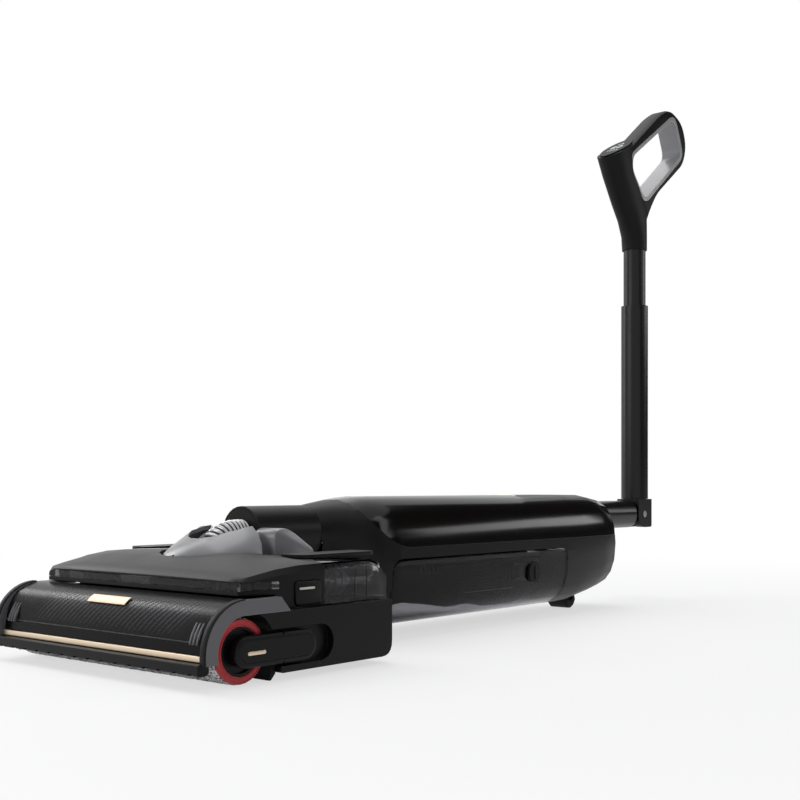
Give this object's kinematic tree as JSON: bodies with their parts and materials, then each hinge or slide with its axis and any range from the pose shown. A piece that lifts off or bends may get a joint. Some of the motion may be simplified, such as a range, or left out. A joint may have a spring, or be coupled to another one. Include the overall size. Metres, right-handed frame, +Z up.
{
  "type": "wet dry floor scrubber",
  "caption": "Cordless wet dry floor scrubber with a wide roller head, low body with tanks, folding telescopic pole and loop handle.",
  "frame": {"origin": "middle of the footprint on the floor, under the body", "axes": "+X towards the roller arm's side, +Y from the roller back along the body to the pole, +Z up"},
  "size_m": [0.264, 0.9286, 0.6265],
  "materials": {
    "satin_black": "satin moulded plastic",
    "gloss_black": "glossy dark plastic",
    "soft_grey": "light grey satin plastic",
    "smoked_clear": "smoked clear plastic",
    "gold_metal": "pale gold metal",
    "soft_red": "soft red rubber",
    "grey_pile": "speckled grey pile",
    "black_rubber": "matte rubber",
    "bright_steel": "brushed",
    "silver_hose": "silver ribs over black",
    "black_metal": "satin painted tube",
    "board_green": "circuit board",
    "cell_blue": "wrapped cells",
    "display_black": "black display glass"
  },
  "bodies": {
    "head": {"head_base": "satin_black", "head_deck": "satin_black", "side_trim_near": "soft_grey", "side_trim_far": "soft_grey", "front_bar": "satin_black", "front_strip": "gold_metal", "squeegee_blade": "black_rubber", "belt_case": "satin_black", "roller_motor": "bright_steel", "drive_belt": "black_rubber", "neck_fairing": "soft_grey", "yoke_cheek_near": "soft_grey", "yoke_cheek_far": "soft_grey", "hose_socket": "satin_black", "neck_hose": "silver_hose"},
    "cover": {"roller_cover": "smoked_clear", "cover_plate": "gold_metal"},
    "roller_carrier": {"roller_arm": "satin_black", "roller_arm_panel": "satin_black"},
    "roller": {"roller_core": "satin_black", "roller_pile": "grey_pile", "roller_end_ring": "soft_red"},
    "drive": {"drive_hub": "bright_steel"},
    "motor_drive": {"motor_pulley": "bright_steel"},
    "wheel_near": {"head_wheel_near": "black_rubber"},
    "wheel_far": {"head_wheel_far": "black_rubber"},
    "tank": {"tank_cover": "satin_black", "tank_window": "smoked_clear", "tank_lobe_near": "smoked_clear", "tank_lobe_far": "smoked_clear", "lift_plate_near": "satin_black", "lift_plate_far": "satin_black", "tank_strainer": "soft_grey"},
    "latch_near": {"tank_latch_near": "satin_black"},
    "latch_far": {"tank_latch_far": "satin_black"},
    "neck": {"neck_tube": "satin_black", "neck_disc": "satin_black"},
    "body": {"body_lower_shell": "satin_black", "body_top_shell": "gloss_black", "body_rear_cap": "satin_black", "suction_fan": "bright_steel", "battery_pack": "cell_blue", "main_board": "board_green", "water_pump": "bright_steel", "pole_stub": "black_metal"},
    "clean_tank": {"clean_tank": "smoked_clear"},
    "fill_cap": {"tank_fill_cap": "black_rubber"},
    "support_wheel": {"support_wheel": "black_rubber"},
    "pole": {"fold_hinge_block": "satin_black", "fold_pin": "bright_steel", "pole_sleeve": "black_metal"},
    "pole_inner": {"pole_inner_tube": "black_metal", "handle_shell": "satin_black", "loop_liner": "soft_grey", "display_glass": "display_black"},
    "trigger_lower": {"trigger_lower": "soft_grey"},
    "trigger_upper": {"trigger_upper": "soft_grey"},
    "mode_button": {"mode_button": "soft_grey"},
    "power_button": {"power_button": "soft_grey"}
  },
  "joints": [
    {"name": "cover_lift", "type": "slide", "parent": "head", "child": "cover", "axis": [0, -0.6, 0.8], "range_m": [0, 0.08]},
    {"name": "roller_pull", "type": "slide", "parent": "head", "child": "roller_carrier", "axis": [1, 0, 0], "range_m": [0, 0.26]},
    {"name": "roller_spin", "type": "hinge", "parent": "roller_carrier", "child": "roller", "pos_m": [0, -0.4265, 0.024], "axis": [1, 0, 0], "continuous": true},
    {"name": "drive_spin", "type": "hinge", "parent": "head", "child": "drive", "pos_m": [0, -0.4265, 0.024], "axis": [1, 0, 0], "continuous": true},
    {"name": "motor_spin", "type": "hinge", "parent": "head", "child": "motor_drive", "pos_m": [0, -0.3695, 0.024], "axis": [1, 0, 0], "continuous": true},
    {"name": "wheel_near_spin", "type": "hinge", "parent": "head", "child": "wheel_near", "pos_m": [0.088, -0.2935, 0.013], "axis": [1, 0, 0], "continuous": true},
    {"name": "wheel_far_spin", "type": "hinge", "parent": "head", "child": "wheel_far", "pos_m": [-0.088, -0.2935, 0.013], "axis": [1, 0, 0], "continuous": true},
    {"name": "tank_lift", "type": "slide", "parent": "head", "child": "tank", "axis": [0, 0, 1], "range_m": [0, 0.06]},
    {"name": "latch_near_press", "type": "slide", "parent": "tank", "child": "latch_near", "axis": [-1, 0, 0], "range_m": [0, 0.0025], "stiffness_N_per_m": 500, "springref_m": -0.002},
    {"name": "latch_far_press", "type": "slide", "parent": "tank", "child": "latch_far", "axis": [1, 0, 0], "range_m": [0, 0.0025], "stiffness_N_per_m": 500, "springref_m": -0.002},
    {"name": "neck_pitch", "type": "hinge", "parent": "head", "child": "neck", "pos_m": [0, -0.2965, 0.088], "axis": [1, 0, 0], "range_deg": [0, 85], "deforming": ["neck_hose"]},
    {"name": "neck_swivel", "type": "hinge", "parent": "neck", "child": "body", "pos_m": [0, -0.2415, 0.099], "axis": [0, 1, 0], "range_deg": [-60, 60]},
    {"name": "support_wheel_spin", "type": "hinge", "parent": "body", "child": "support_wheel", "pos_m": [0, 0.1775, 0.0105], "axis": [1, 0, 0], "continuous": true},
    {"name": "clean_tank_slide", "type": "slide", "parent": "body", "child": "clean_tank", "axis": [1, 0, 0], "range_m": [0, 0.1]},
    {"name": "fill_cap_turn", "type": "hinge", "parent": "clean_tank", "child": "fill_cap", "pos_m": [0, 0.0435, 0.05], "axis": [1, 0, 0], "range_deg": [0, 90]},
    {"name": "pole_fold", "type": "hinge", "parent": "body", "child": "pole", "pos_m": [0, 0.3475, 0.1045], "axis": [1, 0, 0], "range_deg": [-90, 0]},
    {"name": "pole_slide", "type": "slide", "parent": "pole", "child": "pole_inner", "axis": [0, 0, 1], "range_m": [-0.068, 0.1]},
    {"name": "trigger_lower_pull", "type": "slide", "parent": "pole_inner", "child": "trigger_lower", "axis": [0, -0.7181, -0.6959], "range_m": [0, 0.003], "stiffness_N_per_m": 500, "springref_m": -0.002},
    {"name": "trigger_upper_pull", "type": "slide", "parent": "pole_inner", "child": "trigger_upper", "axis": [0, -0.7181, -0.6959], "range_m": [0, 0.003], "stiffness_N_per_m": 500, "springref_m": -0.002},
    {"name": "mode_button_press", "type": "slide", "parent": "pole_inner", "child": "mode_button", "axis": [0, -0.5924, 0.8057], "range_m": [0, 0.0008], "stiffness_N_per_m": 400, "springref_m": -0.001},
    {"name": "power_button_press", "type": "slide", "parent": "pole_inner", "child": "power_button", "axis": [0, -0.5924, 0.8057], "range_m": [0, 0.0008], "stiffness_N_per_m": 400, "springref_m": -0.001}
  ],
  "couplings": [
    {"joint": "drive_spin", "follows": "roller_spin", "ratio": 1},
    {"joint": "motor_spin", "follows": "roller_spin", "ratio": 1}
  ]
}
